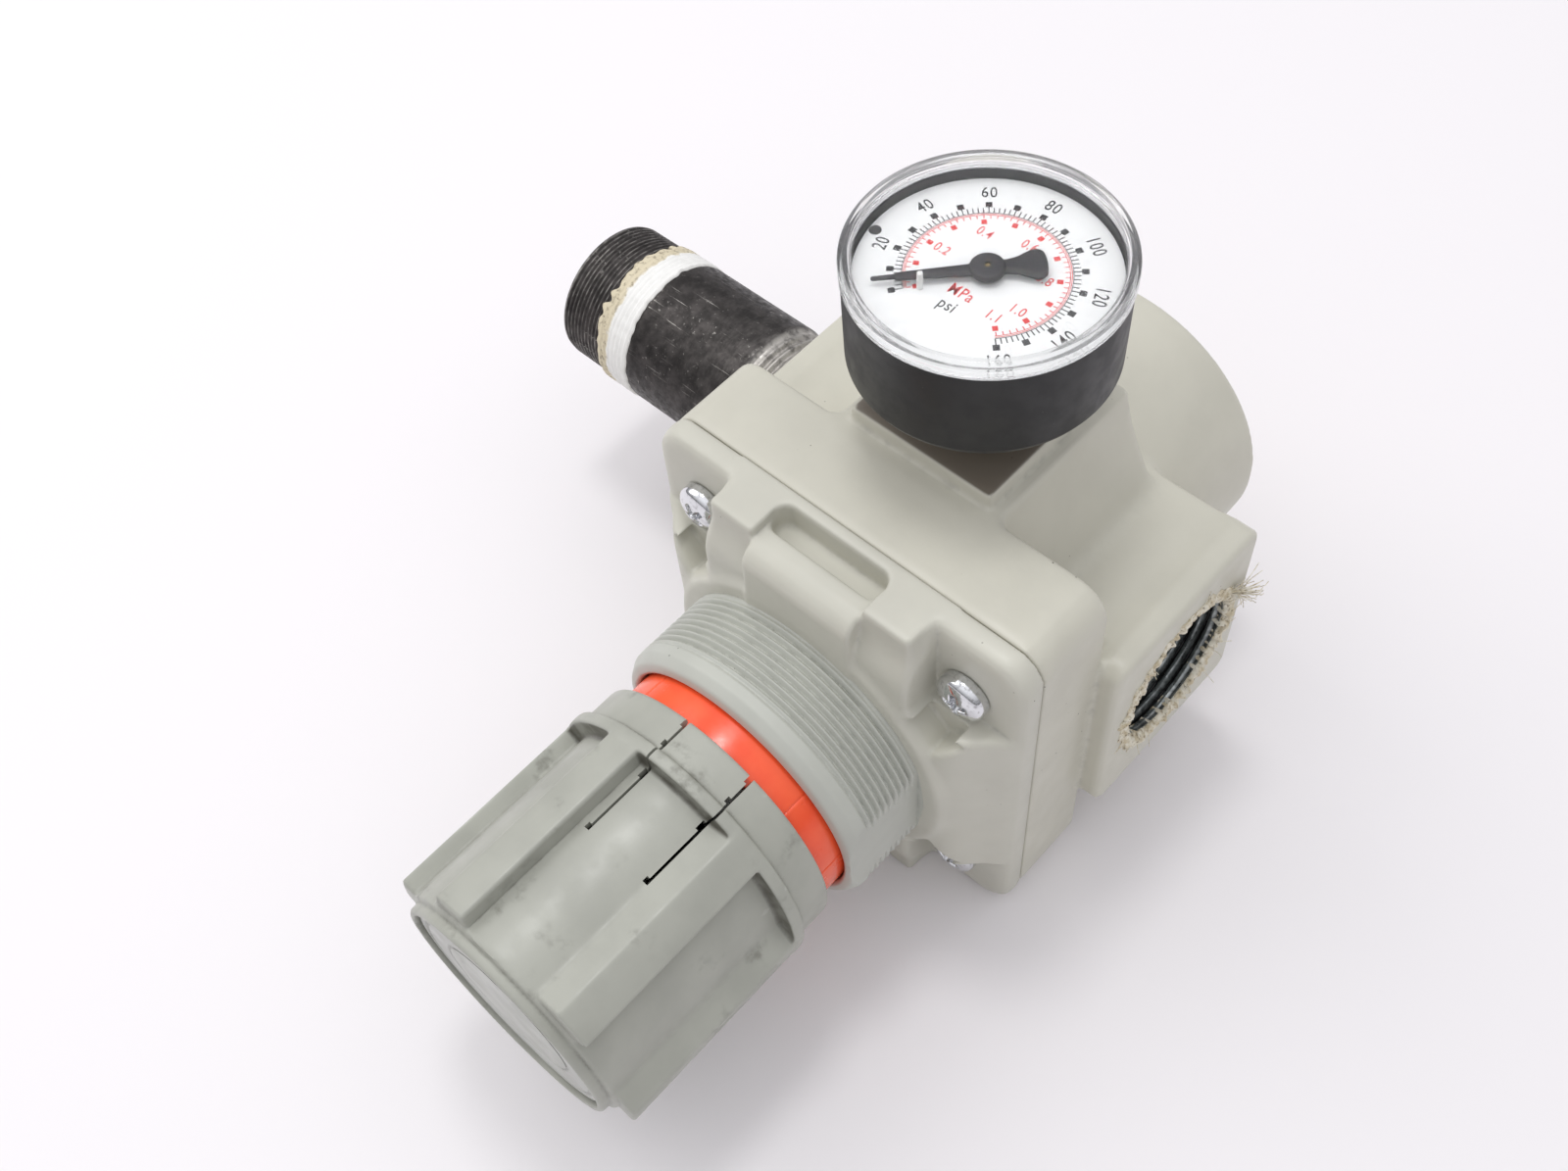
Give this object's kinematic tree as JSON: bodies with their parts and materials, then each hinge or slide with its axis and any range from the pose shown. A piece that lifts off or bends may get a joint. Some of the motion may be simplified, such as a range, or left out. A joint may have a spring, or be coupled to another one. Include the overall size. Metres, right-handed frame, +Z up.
{
  "type": "air pressure regulator",
  "caption": "Modular air pressure regulator with pull-to-unlock knob, orange lock ring, round pressure gauge, threaded ports and a black pipe nipple.",
  "frame": {"origin": "centre of the bounding box, on the plane that the part rests on", "axes": "+Y along the main axis away from the knob, +X out of the open port, +Z up out of the gauge dial"},
  "size_m": [0.1572, 0.1802, 0.1292],
  "materials": {
    "cast_paint": "aluminium die casting under satin paint with fine dark specks",
    "bonnet_paint": "aluminium die casting under satin paint",
    "chromed_steel": "bright plated",
    "brass": "machined",
    "rubber": "matte",
    "steel": "plain",
    "black_pipe": "black mill scale, scratched to bright metal",
    "white_tape": "PTFE thread tape, yellowed at its edge",
    "aluminium": "machined",
    "knob_plastic": "moulded, smudged",
    "disc_plastic": "moulded, thin printed rings",
    "ring_plastic": "bright moulded",
    "case_plastic": "satin moulded",
    "dial_print": "white printed sheet",
    "pin_plastic": "white moulded",
    "pointer_paint": "black",
    "clear_plastic": "clear polycarbonate"
  },
  "bodies": {
    "base": {"body": "cast_paint", "bonnet": "bonnet_paint", "bonnet_screw_1": "chromed_steel", "bonnet_screw_2": "chromed_steel", "bonnet_screw_3": "chromed_steel", "bonnet_screw_4": "chromed_steel", "valve_guide_cap": "brass", "cap_seal": "rubber", "gauge_port_plug": "steel", "inlet_nipple": "black_pipe", "nipple_thread_tape": "white_tape", "port_thread_tape": "white_tape", "valve_spring": "steel", "indicator_ring": "ring_plastic", "gauge_socket": "brass", "gauge_case": "case_plastic", "bourdon_tube": "brass", "movement_plate": "brass", "gauge_dial": "dial_print", "limit_pin": "pin_plastic", "gauge_cover": "clear_plastic"},
    "adjuster": {"adjusting_screw": "steel"},
    "knob": {"knob": "knob_plastic", "knob_end_disc": "disc_plastic"},
    "spring_nut": {"spring_seat_nut": "brass"},
    "diaphragm_stack": {"diaphragm": "rubber", "diaphragm_plate": "aluminium", "relief_seat": "brass", "regulating_spring": "steel"},
    "valve": {"valve_stem": "brass", "valve_seal": "rubber"},
    "pointer": {"gauge_pointer": "pointer_paint", "pinion_shaft": "brass"},
    "sector": {"sector_gear": "brass"}
  },
  "joints": [
    {"name": "knob_turn", "type": "hinge", "parent": "base", "child": "adjuster", "pos_m": [0.0299, 0.04225, 0.0453], "axis": [0, 1, 0], "range_deg": [0, 1620]},
    {"name": "knob_lock", "type": "slide", "parent": "adjuster", "child": "knob", "axis": [0, 1, 0], "range_m": [0, 0.005]},
    {"name": "spring_nut_travel", "type": "slide", "parent": "base", "child": "spring_nut", "axis": [0, 1, 0], "range_m": [0, 0.0079], "deforming": ["regulating_spring"]},
    {"name": "diaphragm_travel", "type": "slide", "parent": "base", "child": "diaphragm_stack", "axis": [0, 1, 0], "range_m": [0, 0.002], "stiffness_N_per_m": 4000},
    {"name": "valve_travel", "type": "slide", "parent": "base", "child": "valve", "axis": [0, 1, 0], "range_m": [0, 0.002], "deforming": ["valve_spring"]},
    {"name": "pointer_turn", "type": "hinge", "parent": "base", "child": "pointer", "pos_m": [0.0299, 0.03915, 0.1237], "axis": [0, 0, -1], "range_deg": [0, 270], "stiffness_Nm_per_rad": 0.0001},
    {"name": "sector_swing", "type": "hinge", "parent": "base", "child": "sector", "pos_m": [0.0299, 0.0238, 0.116], "axis": [0, 0, -1], "range_deg": [-42, 0]}
  ],
  "couplings": [
    {"joint": "spring_nut_travel", "follows": "knob_turn", "m_per_rad": 0.00027852},
    {"joint": "valve_travel", "follows": "diaphragm_travel", "ratio": 1},
    {"joint": "sector_swing", "follows": "pointer_turn", "ratio": -0.15385}
  ]
}
